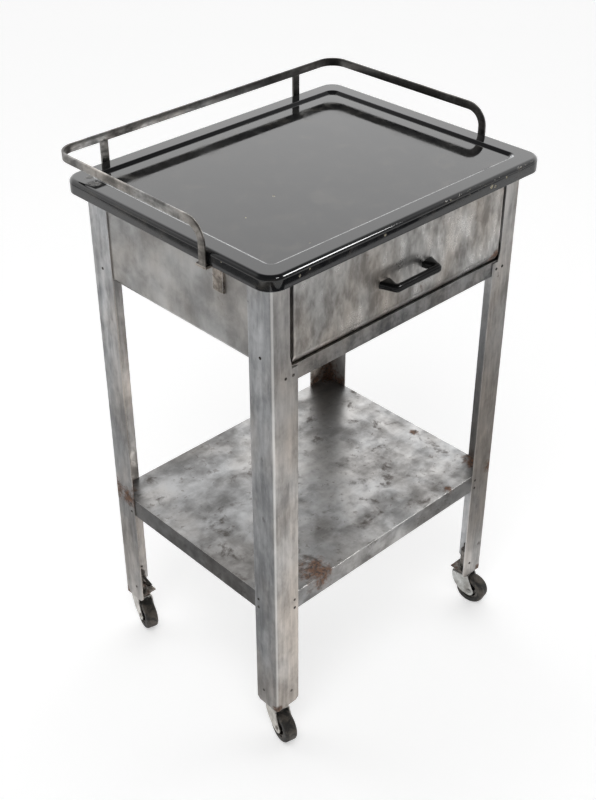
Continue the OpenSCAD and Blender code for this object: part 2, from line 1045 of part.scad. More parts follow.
module fork_front_right() {
    color([0.55, 0.55, 0.53])
        at_caster(1, -1, swivel_front_right)
            caster_fork();
}

module fork_back_left() {
    color([0.55, 0.55, 0.53])
        at_caster(-1, 1, swivel_back_left)
            caster_fork();
}

module fork_back_right() {
    color([0.55, 0.55, 0.53])
        at_caster(1, 1, swivel_back_right)
            caster_fork();
}

module axle_front_left() {
    color([0.45, 0.45, 0.44])
        at_caster(-1, -1, swivel_front_left)
            caster_axle();
}

module axle_front_right() {
    color([0.45, 0.45, 0.44])
        at_caster(1, -1, swivel_front_right)
            caster_axle();
}

module axle_back_left() {
    color([0.45, 0.45, 0.44])
        at_caster(-1, 1, swivel_back_left)
            caster_axle();
}

module axle_back_right() {
    color([0.45, 0.45, 0.44])
        at_caster(1, 1, swivel_back_right)
            caster_axle();
}

module hub_front_left() {
    color([0.06, 0.06, 0.06])
        at_caster(-1, -1, swivel_front_left)
            caster_hub();
}

module hub_front_right() {
    color([0.06, 0.06, 0.06])
        at_caster(1, -1, swivel_front_right)
            caster_hub();
}

module hub_back_left() {
    color([0.06, 0.06, 0.06])
        at_caster(-1, 1, swivel_back_left)
            caster_hub();
}

module hub_back_right() {
    color([0.06, 0.06, 0.06])
        at_caster(1, 1, swivel_back_right)
            caster_hub();
}

module tyre_front_left() {
    color([0.05, 0.05, 0.05])
        at_caster(-1, -1, swivel_front_left)
            caster_tyre();
}

module tyre_front_right() {
    color([0.05, 0.05, 0.05])
        at_caster(1, -1, swivel_front_right)
            caster_tyre();
}

module tyre_back_left() {
    color([0.05, 0.05, 0.05])
        at_caster(-1, 1, swivel_back_left)
            caster_tyre();
}

module tyre_back_right() {
    color([0.05, 0.05, 0.05])
        at_caster(1, 1, swivel_back_right)
            caster_tyre();
}

tabletop();
leg_front_left();
leg_front_right();
leg_back_left();
leg_back_right();
side_panel_left();
side_panel_right();
back_panel();
front_rail();
upper_rail();
drawer_runner_left();
drawer_runner_right();
shelf();
guard_rail();
guard_posts();
guard_lugs();
frame_rivets();
shelf_rivets();
socket_front_left();
socket_front_right();
socket_back_left();
socket_back_right();
socket_clip();
socket_rivets();
drawer_front();
drawer_box();
drawer_handle();
handle_screws();
drawer_stops();
race_front_left();
race_front_right();
race_back_left();
race_back_right();
stem_front_left();
stem_front_right();
stem_back_left();
stem_back_right();
fork_front_left();
fork_front_right();
fork_back_left();
fork_back_right();
axle_front_left();
axle_front_right();
axle_back_left();
axle_back_right();
hub_front_left();
hub_front_right();
hub_back_left();
hub_back_right();
tyre_front_left();
tyre_front_right();
tyre_back_left();
tyre_back_right();
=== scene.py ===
# Instrument cart: enamelled top inside a guard rail, one drawer, a shelf and four casters.
# Metres, +Z up, the drawer faces -Y.
import math

import bmesh
import bpy
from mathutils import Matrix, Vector, noise


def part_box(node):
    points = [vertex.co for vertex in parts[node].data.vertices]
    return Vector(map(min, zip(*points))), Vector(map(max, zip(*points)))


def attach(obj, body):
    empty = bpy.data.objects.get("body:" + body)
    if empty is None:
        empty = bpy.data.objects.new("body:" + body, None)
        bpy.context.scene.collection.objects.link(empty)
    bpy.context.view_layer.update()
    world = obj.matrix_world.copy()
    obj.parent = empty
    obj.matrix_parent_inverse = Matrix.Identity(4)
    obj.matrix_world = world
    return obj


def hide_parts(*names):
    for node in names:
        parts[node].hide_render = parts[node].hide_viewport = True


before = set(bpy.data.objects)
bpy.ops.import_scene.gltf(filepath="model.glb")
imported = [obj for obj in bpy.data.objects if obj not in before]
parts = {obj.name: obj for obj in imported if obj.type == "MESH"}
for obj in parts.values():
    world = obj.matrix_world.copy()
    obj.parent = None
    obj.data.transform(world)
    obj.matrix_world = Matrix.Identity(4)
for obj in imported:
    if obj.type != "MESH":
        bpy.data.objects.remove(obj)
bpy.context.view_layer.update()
mm = 0.001
corners = ("front_left", "front_right", "back_left", "back_right")
print("frame loaded,", len(parts), "parts")


def addNode(tree, kind, inputs=None, **settings):
    made = tree.nodes.new(kind)
    for key, value in settings.items():
        setattr(made, key, value)
    for key, value in (inputs or {}).items():
        if isinstance(value, bpy.types.NodeSocket):
            tree.links.new(value, made.inputs[key])
        else:
            made.inputs[key].default_value = value
    return made


def noiseOf(tree, vector, scale, detail=4.0, rough=0.55, twist=0.0):
    made = addNode(
        tree, "ShaderNodeTexNoise",
        {"Vector": vector, "Scale": scale, "Detail": detail, "Roughness": rough, "Distortion": twist},
    )
    return made.outputs[0]


def remap(tree, value, low, high, toLow=0.0, toHigh=1.0):
    made = addNode(
        tree, "ShaderNodeMapRange",
        {"Value": value, "From Min": low, "From Max": high, "To Min": toLow, "To Max": toHigh},
        interpolation_type="SMOOTHSTEP",
    )
    return made.outputs["Result"]


def calc(tree, operation, first, second=0.0, third=0.0, clamp=False):
    made = addNode(
        tree, "ShaderNodeMath", {0: first, 1: second, 2: third}, operation=operation, use_clamp=clamp
    )
    return made.outputs[0]


def mixColour(tree, amount, first, second, mode="MIX"):
    made = addNode(
        tree, "ShaderNodeMix", {0: amount, 6: first, 7: second}, data_type="RGBA", blend_type=mode
    )
    return made.outputs[2]


def mapped(tree, vector, turn=(0, 0, 0), scale=(1, 1, 1), shift=(0, 0, 0)):
    made = addNode(
        tree, "ShaderNodeMapping",
        {
            "Vector": vector, "Rotation": [math.radians(a) for a in turn],
            "Scale": scale, "Location": shift,
        },
    )
    return made.outputs[0]


def startGroup(name, inputs, outputs):
    group = bpy.data.node_groups.new(name, "ShaderNodeTree")
    for label, kind, value in inputs:
        socket = group.interface.new_socket(name=label, in_out="INPUT", socket_type="NodeSocket" + kind)
        if value is not None:
            socket.default_value = value
    for label, kind in outputs:
        group.interface.new_socket(name=label, in_out="OUTPUT", socket_type="NodeSocket" + kind)
    return group, group.nodes.new("NodeGroupInput").outputs, group.nodes.new("NodeGroupOutput").inputs


def useGroup(tree, group, inputs=None):
    made = addNode(tree, "ShaderNodeGroup", node_tree=group)
    for key, value in (inputs or {}).items():
        if isinstance(value, bpy.types.NodeSocket):
            tree.links.new(value, made.inputs[key])
        else:
            made.inputs[key].default_value = value
    return made.outputs


studio = {
    "cameraPlace": (-1.0859, -1.1178, 1.4817),
    "cameraTurn": (56.22, 0.91, -42.53),
    "lens": 56.16,
    "shiftX": 0.042,
    "shiftY": -0.012,
    "floorSize": 9.0,
    "floorColour": (0.86, 0.86, 0.86, 1),
    "floorGlow": 0.44,
    "backSky": 1.9,
    "frontSky": 0.2,
    "highSky": 0.12,
    "brightSide": (0.67, 0.74, 0),
    "paleSky": 1.02,
}


def makeFlat(name, colour, glow):
    finish = bpy.data.materials.new(name)
    finish.use_nodes = True
    shader = finish.node_tree.nodes["Principled BSDF"]
    shader.inputs["Base Color"].default_value = colour
    shader.inputs["Roughness"].default_value = 0.9
    shader.inputs["Emission Color"].default_value = (1, 1, 1, 1)
    shader.inputs["Emission Strength"].default_value = glow
    return finish


# the two windows only show in gloss, and the overhead box only lights matt surfaces
softboxes = (
    {
        "name": "frontWindow", "place": (1.08, -1.5, 1.9), "target": (0, -0.15, 0.78),
        "size": (0.5, 0.5), "power": 24, "lights": "gloss",
    },
    {
        "name": "cornerWindow", "place": (-0.15, -1.64, 2.18), "target": (-0.25, -0.2, 0.8),
        "size": (0.5, 0.3), "power": 8, "lights": "gloss",
    },
    {
        "name": "overhead", "place": (-1.2, -0.9, 3.0), "target": (0, 0, 0.5),
        "size": (1.6, 1.6), "power": 26, "lights": "matt",
    },
)


def addSoftbox(name, place, target, size, power, lights):
    light = bpy.data.lights.new(name, "AREA")
    light.shape = "RECTANGLE"
    light.size, light.size_y = size
    light.energy = power
    lamp = bpy.data.objects.new(name, light)
    lamp.location = place
    aim = Vector(target) - Vector(place)
    lamp.rotation_euler = aim.to_track_quat("-Z", "Y").to_euler()
    lamp.visible_camera = False
    lamp.visible_diffuse = lights == "matt"
    lamp.visible_glossy = lights == "gloss"
    bpy.context.scene.collection.objects.link(lamp)


cards = (
    ("frontCard", [(-0.9, -0.8, 0.315), (1.4, -0.8, 0.315), (1.4, -0.8, 0.41), (-0.9, -0.8, 0.41)], 0.02),
    ("sideCard", [(-0.9, 1.5, 0.22), (-0.9, -0.8, 0.22), (-0.9, -0.8, 0.41), (-0.9, 1.5, 0.41)], 0.2),
    (
        "leftCard",
        [(-0.9, -0.3, 0.003), (-0.28, -0.3, 0.003), (-0.28, 0.85, 0.003), (-0.9, 0.85, 0.003)], 0.7,
    ),
    (
        "rightCard",
        [(0.3, -1.0, 0.003), (1.15, -1.0, 0.003), (1.15, -0.26, 0.003), (0.3, -0.26, 0.003)], 0.4,
    ),
)


def addCard(name, points, shade):
    # a card that only shows in gloss, as the unlit side of a room does
    mesh = bpy.data.meshes.new(name)
    mesh.from_pydata(points, [], [(0, 1, 2, 3)])
    mesh.materials.append(makeFlat(name + "Paper", (shade, shade, shade, 1), 0.0))
    card = bpy.data.objects.new(name, mesh)
    bpy.context.scene.collection.objects.link(card)
    card.visible_camera = False
    card.visible_diffuse = False
    card.visible_shadow = False
    card.visible_transmission = False


def buildStudio():
    scene = bpy.context.scene
    scene.view_settings.view_transform = "Standard"
    cameraData = bpy.data.cameras.new("viewCamera")
    cameraData.lens = studio["lens"]
    cameraData.shift_x = studio["shiftX"]
    cameraData.shift_y = studio["shiftY"]
    cameraData.clip_end = 40
    camera = bpy.data.objects.new("viewCamera", cameraData)
    camera.location = studio["cameraPlace"]
    camera.rotation_euler = [math.radians(a) for a in studio["cameraTurn"]]
    scene.collection.objects.link(camera)
    scene.camera = camera

    half = studio["floorSize"] / 2
    floorMesh = bpy.data.meshes.new("studioFloor")
    floorMesh.from_pydata(
        [(-half, -half, 0), (half, -half, 0), (half, half, 0), (-half, half, 0)], [], [(0, 1, 2, 3)]
    )
    floor = bpy.data.objects.new("studioFloor", floorMesh)
    scene.collection.objects.link(floor)
    floorMesh.materials.append(makeFlat("palePaper", studio["floorColour"], studio["floorGlow"]))

    # the room is bright behind the cart and dim overhead and towards the viewer
    world = bpy.data.worlds.new("softRoom")
    world.use_nodes = True
    scene.world = world
    tree = world.node_tree
    direction = addNode(tree, "ShaderNodeTexCoord").outputs["Generated"]
    split = addNode(tree, "ShaderNodeSeparateXYZ", {0: direction})
    along = addNode(
        tree, "ShaderNodeVectorMath", {0: direction, 1: studio["brightSide"]}, operation="DOT_PRODUCT"
    )
    behind = remap(tree, along.outputs["Value"], -0.25, 0.55, studio["frontSky"], studio["backSky"])
    above = remap(tree, split.outputs["Z"], 0.55, 0.85)
    level = calc(tree, "MULTIPLY_ADD", above, calc(tree, "SUBTRACT", studio["highSky"], behind), behind)
    seen = addNode(tree, "ShaderNodeLightPath").outputs["Is Camera Ray"]
    level = calc(tree, "MULTIPLY_ADD", seen, calc(tree, "SUBTRACT", studio["paleSky"], level), level)
    tree.links.new(level, tree.nodes["Background"].inputs["Strength"])
    tree.nodes["Background"].inputs["Color"].default_value = (1, 1, 1, 1)

    for box in softboxes:
        addSoftbox(**box)
    for name, points, shade in cards:
        addCard(name, points, shade)


buildStudio()
print("studio ready")


def makeBurnishGroup():
    # cloudy blotches, brushed streaks and dark stains of bare steel
    group, given, result = startGroup(
        "burnishedSteel",
        [
            ("Vector", "Vector", None), ("Streak Vector", "Vector", None),
            ("Light", "Color", (0.5, 0.49, 0.47, 1)), ("Dark", "Color", (0.2, 0.2, 0.2, 1)),
            ("Stain", "Color", (0.08, 0.06, 0.05, 1)), ("Cloud Scale", "Float", 14.0),
            ("Cloud Amount", "Float", 0.8), ("Streak Scale", "Float", 60.0),
            ("Streak Amount", "Float", 0.4), ("Stain Scale", "Float", 16.0),
            ("Stain Amount", "Float", 0.2), ("Warmth", "Float", 0.5),
        ],
        [("Color", "Color"), ("Value", "Float"), ("Stain", "Float"), ("Height", "Float")],
    )
    broad = noiseOf(group, given["Vector"], given["Cloud Scale"], 4, 0.55, 0.25)
    mediumScale = calc(group, "MULTIPLY", given["Cloud Scale"], 3.3)
    medium = noiseOf(group, given["Vector"], mediumScale, 6, 0.62, 0.3)
    clouds = calc(group, "MULTIPLY_ADD", broad, 0.62, calc(group, "MULTIPLY", medium, 0.38))
    clouds = remap(group, clouds, 0.33, 0.67)
    streak = noiseOf(group, given["Streak Vector"], given["Streak Scale"], 6, 0.62)
    streak = remap(group, streak, 0.3, 0.7)
    grain = noiseOf(group, given["Vector"], 480.0, 3, 0.6)
    cloudPart = calc(group, "MULTIPLY", calc(group, "SUBTRACT", clouds, 0.5), given["Cloud Amount"])
    streakPart = calc(group, "MULTIPLY", calc(group, "SUBTRACT", streak, 0.5), given["Streak Amount"])
    grainPart = calc(group, "MULTIPLY", calc(group, "SUBTRACT", grain, 0.5), 0.22)
    bothParts = calc(group, "ADD", cloudPart, streakPart)
    level = calc(group, "ADD", bothParts, calc(group, "ADD", grainPart, 0.5), clamp=True)
    colour = mixColour(group, level, given["Dark"], given["Light"])
    tintPlace = mapped(group, given["Vector"], shift=(3, 7, 1))
    tintNoise = remap(group, noiseOf(group, tintPlace, 9.0, 3, 0.6), 0.35, 0.65)
    warm = mixColour(group, tintNoise, (0.96, 1.0, 1.04, 1), (1.07, 0.99, 0.91, 1))
    colour = mixColour(group, given["Warmth"], colour, mixColour(group, 1.0, colour, warm, "MULTIPLY"))
    stainPlace = mapped(group, given["Vector"], shift=(1, 2, 5))
    stainNoise = noiseOf(group, stainPlace, given["Stain Scale"], 8, 0.66, 0.35)
    edge = calc(group, "SUBTRACT", 0.74, calc(group, "MULTIPLY", given["Stain Amount"], 0.3))
    stain = remap(group, calc(group, "SUBTRACT", stainNoise, edge), -0.06, 0.06)
    colour = mixColour(group, calc(group, "MULTIPLY", stain, 0.8), colour, given["Stain"])
    height = calc(group, "MULTIPLY_ADD", grain, 0.35, calc(group, "MULTIPLY", clouds, 0.4))
    height = calc(group, "MULTIPLY_ADD", streak, 0.5, height)
    group.links.new(colour, result["Color"])
    group.links.new(level, result["Value"])
    group.links.new(stain, result["Stain"])
    group.links.new(height, result["Height"])
    return group


def makeEdgeGroup():
    # rounds hard edges in the light and finds them for wear
    group, given, result = startGroup(
        "rubbedEdges",
        [("Radius", "Float", 0.0012), ("Sharpness", "Float", 6.0)],
        [("Normal", "Vector"), ("Mask", "Float")],
    )
    rounded = addNode(group, "ShaderNodeBevel", {"Radius": given["Radius"]}, samples=4)
    facing = addNode(group, "ShaderNodeNewGeometry")
    same = addNode(
        group, "ShaderNodeVectorMath", {0: rounded.outputs[0], 1: facing.outputs["Normal"]},
        operation="DOT_PRODUCT",
    )
    bent = calc(group, "SUBTRACT", 1.0, same.outputs["Value"])
    mask = calc(group, "MULTIPLY", bent, given["Sharpness"], clamp=True)
    group.links.new(rounded.outputs[0], result["Normal"])
    group.links.new(mask, result["Mask"])
    return group


def makePatchGroup():
    # a ragged round patch about one place
    group, given, result = startGroup(
        "raggedPatch",
        [
            ("Vector", "Vector", None), ("Centre", "Vector", None), ("Size", "Float", 0.02),
            ("Raggedness", "Float", 0.6), ("Grain", "Float", 90.0),
        ],
        [("Mask", "Float")],
    )
    away = addNode(
        group, "ShaderNodeVectorMath", {0: given["Vector"], 1: given["Centre"]}, operation="DISTANCE"
    )
    reach = calc(group, "DIVIDE", away.outputs["Value"], given["Size"])
    rag = calc(group, "SUBTRACT", noiseOf(group, given["Vector"], given["Grain"], 6, 0.65, 0.5), 0.5)
    rag = calc(group, "MULTIPLY", calc(group, "MULTIPLY", rag, 4.0), given["Raggedness"])
    reach = calc(group, "ADD", reach, rag)
    group.links.new(remap(group, reach, 1.0, 0.25), result["Mask"])
    return group


def makeFacingGroup():
    # tells side faces, front faces and the bend between them apart, for the painted side and front shading
    # and the painted bend highlight
    group, given, result = startGroup(
        "faceSorter", [], [("Side", "Float"), ("Front", "Float"), ("Bend", "Float")],
    )
    normal = addNode(group, "ShaderNodeTexCoord").outputs["Normal"]
    split = addNode(group, "ShaderNodeSeparateXYZ", {0: normal})
    side = calc(group, "ABSOLUTE", split.outputs["X"])
    front = calc(group, "MULTIPLY", split.outputs["Y"], -1.0, clamp=True)
    both = calc(group, "ABSOLUTE", calc(group, "MULTIPLY", split.outputs["X"], split.outputs["Y"]))
    group.links.new(side, result["Side"])
    group.links.new(front, result["Front"])
    group.links.new(remap(group, both, 0.22, 0.48), result["Bend"])
    return group


burnishGroup = makeBurnishGroup()
facingGroup = makeFacingGroup()
edgeGroup = makeEdgeGroup()
patchGroup = makePatchGroup()


def patchesAt(tree, vector, spots, raggedness=0.6, grain=90.0):
    total = None
    for x, y, z, size in spots:
        mask = useGroup(
            tree, patchGroup,
            {"Vector": vector, "Centre": (x * mm, y * mm, z * mm), "Size": size * mm,
             "Raggedness": raggedness, "Grain": grain},
        )["Mask"]
        total = mask if total is None else calc(tree, "MAXIMUM", total, mask)
    return total


def startFinish(name):
    finish = bpy.data.materials.new(name)
    finish.use_nodes = True
    tree = finish.node_tree
    shader = tree.nodes["Principled BSDF"]
    place = addNode(tree, "ShaderNodeTexCoord").outputs["Object"]
    return finish, tree, shader, place


rustColour = (0.2, 0.085, 0.035, 1)
rustDark = (0.035, 0.018, 0.01, 1)
rubbedColour = (0.72, 0.71, 0.69, 1)
# painted highlight on the rounded bend between two faces
bendHighlightColour = (0.85, 0.84, 0.82, 1)
dimColour = (0.06, 0.055, 0.05, 1)
pitColour = (0.05, 0.032, 0.022, 1)
darkPatchColour = (0.045, 0.042, 0.04, 1)


def makeSteel(
    name, light, dark, stain=(0.07, 0.055, 0.045, 1), cloudScale=14.0, clouds=0.8, streakTurn=(0, 0, 0),
    streakStretch=(1, 1, 0.08), streakScale=70.0, streaks=0.45, cloudStretch=(1, 1, 1), cloudTurn=(0, 0, 0),
    stainScale=16.0, stains=0.2, warmth=0.5, roughLow=0.3, roughHigh=0.5, bump=0.00006, bevel=0.0011,
    rust=(), edgeShine=0.35, darkPatches=(), paintedBendHighlight=0.0, paintedFaceShading=0.0, pits=0.0,
    paintedSideShading=(1.1, 1.12, 1.15, 1), paintedFrontShading=(1.06, 1.025, 0.995, 1), dimLeft=0.0,
):
    finish, tree, shader, place = startFinish(name)
    cloudPlace = mapped(tree, place, turn=cloudTurn, scale=cloudStretch)
    streakPlace = mapped(tree, place, turn=streakTurn, scale=streakStretch)
    base = useGroup(
        tree, burnishGroup,
        {
            "Vector": cloudPlace, "Streak Vector": streakPlace, "Light": light, "Dark": dark, "Stain": stain,
            "Cloud Scale": cloudScale, "Cloud Amount": clouds, "Streak Scale": streakScale,
            "Streak Amount": streaks, "Stain Scale": stainScale, "Stain Amount": stains, "Warmth": warmth,
        },
    )
    edges = useGroup(tree, edgeGroup, {"Radius": bevel})
    shine = calc(tree, "MULTIPLY", edges["Mask"], edgeShine)
    colour = mixColour(tree, shine, base["Color"], rubbedColour)
    # painted light and shade: side faces and front faces take their own brightness and tint for how the light
    # falls on them, and the bend between them a painted highlight
    if paintedBendHighlight or paintedFaceShading:
        faces = useGroup(tree, facingGroup)
        sideShadedColour = mixColour(tree, 1.0, colour, paintedSideShading, "MULTIPLY")
        frontShadedColour = mixColour(tree, 1.0, colour, paintedFrontShading, "MULTIPLY")
        colour = mixColour(tree, calc(tree, "MULTIPLY", faces["Side"], paintedFaceShading), colour, sideShadedColour)
        colour = mixColour(tree, calc(tree, "MULTIPLY", faces["Front"], paintedFaceShading), colour, frontShadedColour)
        colour = mixColour(tree, calc(tree, "MULTIPLY", faces["Bend"], paintedBendHighlight), colour, bendHighlightColour)
    # darker towards the left
    if dimLeft:
        across = addNode(tree, "ShaderNodeSeparateXYZ", {0: place})
        dim = calc(tree, "MULTIPLY", remap(tree, across.outputs["X"], 0.05, -0.12), dimLeft)
        colour = mixColour(tree, dim, colour, dimColour)
    if pits:
        speckle = noiseOf(tree, mapped(tree, place, shift=(5, 1, 2)), 95.0, 5, 0.6, 0.4)
        gather = noiseOf(tree, mapped(tree, place, shift=(2, 9, 4)), 11.0, 3, 0.6)
        speckle = calc(tree, "MULTIPLY_ADD", gather, 0.35, speckle)
        speckle = calc(tree, "MULTIPLY", remap(tree, speckle, 0.8, 0.86), pits)
        colour = mixColour(tree, speckle, colour, pitColour)
    if darkPatches:  # broad dark patches laid over the colour
        scale = patchesAt(tree, place, darkPatches, 0.3, 12.0)
        colour = mixColour(tree, calc(tree, "MULTIPLY", scale, 0.72), colour, darkPatchColour)
    rough = remap(tree, base["Value"], 0.0, 1.0, roughHigh, roughLow)
    rough = calc(tree, "MULTIPLY_ADD", base["Stain"], 0.12, rough)
    metal = calc(tree, "SUBTRACT", 1.0, calc(tree, "MULTIPLY", base["Stain"], 0.25))
    height = base["Height"]
    if rust:
        mask = patchesAt(tree, place, rust, 0.55)
        tone = noiseOf(tree, place, 230.0, 6, 0.7)
        rustTone = mixColour(tree, remap(tree, tone, 0.38, 0.62), rustDark, rustColour)
        colour = mixColour(tree, calc(tree, "MULTIPLY", mask, 0.88), colour, rustTone)
        rough = calc(tree, "MULTIPLY_ADD", mask, 0.35, rough)
        metal = calc(tree, "SUBTRACT", metal, calc(tree, "MULTIPLY", mask, 0.7), clamp=True)
        height = calc(tree, "MULTIPLY_ADD", calc(tree, "MULTIPLY", mask, tone), 2.5, height)
    relief = addNode(
        tree, "ShaderNodeBump",
        {"Strength": 1.0, "Distance": bump, "Height": height, "Normal": edges["Normal"]},
    )
    tree.links.new(colour, shader.inputs["Base Color"])
    tree.links.new(rough, shader.inputs["Roughness"])
    tree.links.new(metal, shader.inputs["Metallic"])
    tree.links.new(relief.outputs[0], shader.inputs["Normal"])
    return finish


def coat(names, finish):
    for name in names:
        mesh = parts[name].data
        mesh.materials.clear()
        mesh.materials.append(finish)


shelfX, shelfY, shelfTop = [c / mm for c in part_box("shelf")[1]]

legSteel = makeSteel(
    "legSteel", (0.53, 0.515, 0.5, 1), (0.25, 0.245, 0.24, 1), cloudScale=24, clouds=0.75,
    cloudStretch=(1, 1, 0.5), streakTurn=(32, 0, 0), streakStretch=(1.6, 1, 0.12), streakScale=110,
    streaks=0.42,
    # painted light on the legs: brighter, cooler side flanges, warmer front flanges and a painted highlight
    # along the bend
    stains=0.14, stainScale=40, warmth=0.6, roughLow=0.33, roughHigh=0.5, paintedBendHighlight=0.5, paintedFaceShading=0.9,
    rust=[
        (-shelfX, shelfY - 30, shelfTop + 2, 22), (-shelfX + 6, shelfY, shelfTop + 6, 26),
        (shelfX, shelfY, shelfTop + 10, 34), (shelfX - 30, shelfY, shelfTop + 4, 20),
        (shelfX, shelfY - 32, shelfTop + 4, 18), (shelfX, -shelfY, shelfTop + 4, 18),
        (-shelfX, shelfY, 66, 12), (shelfX, -shelfY, 66, 12), (-shelfX, -shelfY, 66, 9),
        (shelfX, shelfY, 66, 12),
    ],
)
panelSteel = makeSteel(
    "panelSteel", (0.51, 0.5, 0.485, 1), (0.26, 0.255, 0.25, 1), cloudScale=13, clouds=0.7,
    streakTurn=(25, 0, 0), streakStretch=(1, 0.6, 0.12), streakScale=60, streaks=0.22, stains=0.14,
    warmth=0.35,
)
railSteel = makeSteel(
    "railSteel", (0.36, 0.35, 0.34, 1), (0.12, 0.12, 0.12, 1), cloudScale=26, clouds=1.0,
    streaks=0.4, stains=0.25,
)
shelfSteel = makeSteel(
    "shelfSteel", (0.48, 0.48, 0.48, 1), (0.17, 0.168, 0.165, 1), stain=(0.075, 0.062, 0.053, 1),
    cloudScale=13, clouds=1.0, streakTurn=(0, 0, 35), streakStretch=(0.25, 1, 1), streakScale=40,
    streaks=0.25, stainScale=26, stains=0.42, warmth=0.3, roughLow=0.3, roughHigh=0.42, bump=0.00003,
    bevel=0.0018,
    # painted shade: the shelf's side lips are darkened
    edgeShine=0.85, pits=0.4, paintedFaceShading=1.0, paintedSideShading=(0.6, 0.6, 0.6, 1), paintedFrontShading=(1, 1, 1, 1), dimLeft=0.3,
    rust=[
        (-shelfX + 6, shelfY - 8, shelfTop, 24), (shelfX - 6, shelfY - 6, shelfTop, 20),
        (-142, -shelfY + 12, shelfTop, 34), (shelfX - 8, -shelfY + 26, shelfTop, 22),
        (213, -37, shelfTop, 11), (139, -shelfY + 6, shelfTop, 11),
    ],
)
barSteel = makeSteel(
    "barSteel", (0.42, 0.41, 0.395, 1), (0.12, 0.117, 0.112, 1), cloudScale=26, clouds=0.9,
    streakStretch=(0.3, 0.3, 1), streakScale=90, streaks=0.55, stains=0.2, warmth=0.6,
    # darker towards the back right and at the back left corner
    darkPatches=[(260, 210, 834, 420), (-250, 205, 834, 26)],
    roughLow=0.28, roughHigh=0.45, bevel=0.0008, edgeShine=0.6,
)
lugSteel = makeSteel(
    "lugSteel", (0.42, 0.39, 0.36, 1), (0.13, 0.12, 0.11, 1), stain=(0.07, 0.035, 0.02, 1), cloudScale=60,
    clouds=1.0, stains=0.42, stainScale=110, warmth=0.7, bevel=0.0014, edgeShine=0.7,
)
socketSteel = makeSteel(
    "socketSteel", (0.3, 0.28, 0.26, 1), (0.1, 0.09, 0.08, 1), stain=(0.1, 0.04, 0.018, 1), cloudScale=45,
    clouds=1.0, stains=0.55, stainScale=70, roughLow=0.4, roughHigh=0.6,
)
boxSteel = makeSteel(
    "boxSteel", (0.42, 0.42, 0.41, 1), (0.2, 0.2, 0.2, 1), cloudScale=9,
    streakStretch=(1, 0.15, 1), streakScale=50, streaks=0.3, stains=0.2, roughLow=0.35, roughHigh=0.55,
)
forkSteel = makeSteel(
    "forkSteel", (0.62, 0.62, 0.6, 1), (0.3, 0.29, 0.27, 1), stain=(0.1, 0.07, 0.045, 1), cloudScale=50,
    clouds=0.8, stains=0.25, stainScale=90, roughLow=0.25, roughHigh=0.42, bevel=0.001, edgeShine=0.5,
)
axleSteel = makeSteel(
    "axleSteel", (0.4, 0.39, 0.37, 1), (0.14, 0.13, 0.12, 1), cloudScale=90, stains=0.3, stainScale=140,
    roughLow=0.3, roughHigh=0.5, bevel=0.0006,
)
darkSteel = makeSteel(
    "darkSteel", (0.16, 0.15, 0.14, 1), (0.04, 0.037, 0.034, 1), stain=(0.08, 0.035, 0.018, 1), cloudScale=70,
    stains=0.45, stainScale=120, roughLow=0.35, roughHigh=0.6, bevel=0.0006, edgeShine=0.25, pits=0.3,
)

drawerSteel = makeSteel(
    "drawerSteel", (0.6, 0.575, 0.545, 1), (0.25, 0.235, 0.22, 1), stain=(0.16, 0.115, 0.09, 1),
    cloudScale=27, clouds=1.1, cloudTurn=(0, 20, 0), cloudStretch=(1, 1, 0.5), streakTurn=(0, 24, 0),
    streakStretch=(1, 1, 0.3), streakScale=60, streaks=0.3, stainScale=44, stains=0.2, warmth=0.7,
    roughLow=0.26, roughHigh=0.42, bump=0.0001, bevel=0.001, edgeShine=0.4,
    rust=[(192, -184, 662, 17)],
)


enamelLook = {
    "recessTop": 0.7995, "recessFloor": 0.7985, "stepX": 0.245, "stepY": 0.194,
    "black": (0.006, 0.0064, 0.0074, 1), "film": (0.085, 0.075, 0.06, 1),
    # the pale colour for the near sides of the step is a painted reflection
    "smear": (0.025, 0.025, 0.025, 1), "stepReflection": (0.75, 0.76, 0.78, 1),
    "chipDark": (0.05, 0.04, 0.025, 1), "chipPale": (0.52, 0.46, 0.3, 1),
    "crazedBase": (0.05, 0.045, 0.04, 1), "crackPale": (0.22, 0.2, 0.17, 1),
    # x, y, z and size in millimetres
    "chips": [
        (-62, -203, 793, 2.6), (-206, -203, 791, 2.2), (142, -203, 791, 4.2), (150, -203, 789, 3),
        (172, -203, 795, 2), (-190, -203, 794, 1.6), (-254, -120, 795, 1.4), (60, -203, 799, 1.8),
        (-91, -35, 798, 3), (-159, -57, 798, 1.6), (-149, -161, 798, 1.5),
    ],
    "crazed": [(-238, 152, 802, 11), (-232, 172, 802, 9)],
    "scuffY": -0.2017, "scuffReach": 0.0016, "scuffCore": 0.0006, "scuffFrom": 0.03, "scuffFull": 0.07,
    "wave": 0.00005, "peel": 0.0000025, "chipDepth": 0.00012,
}


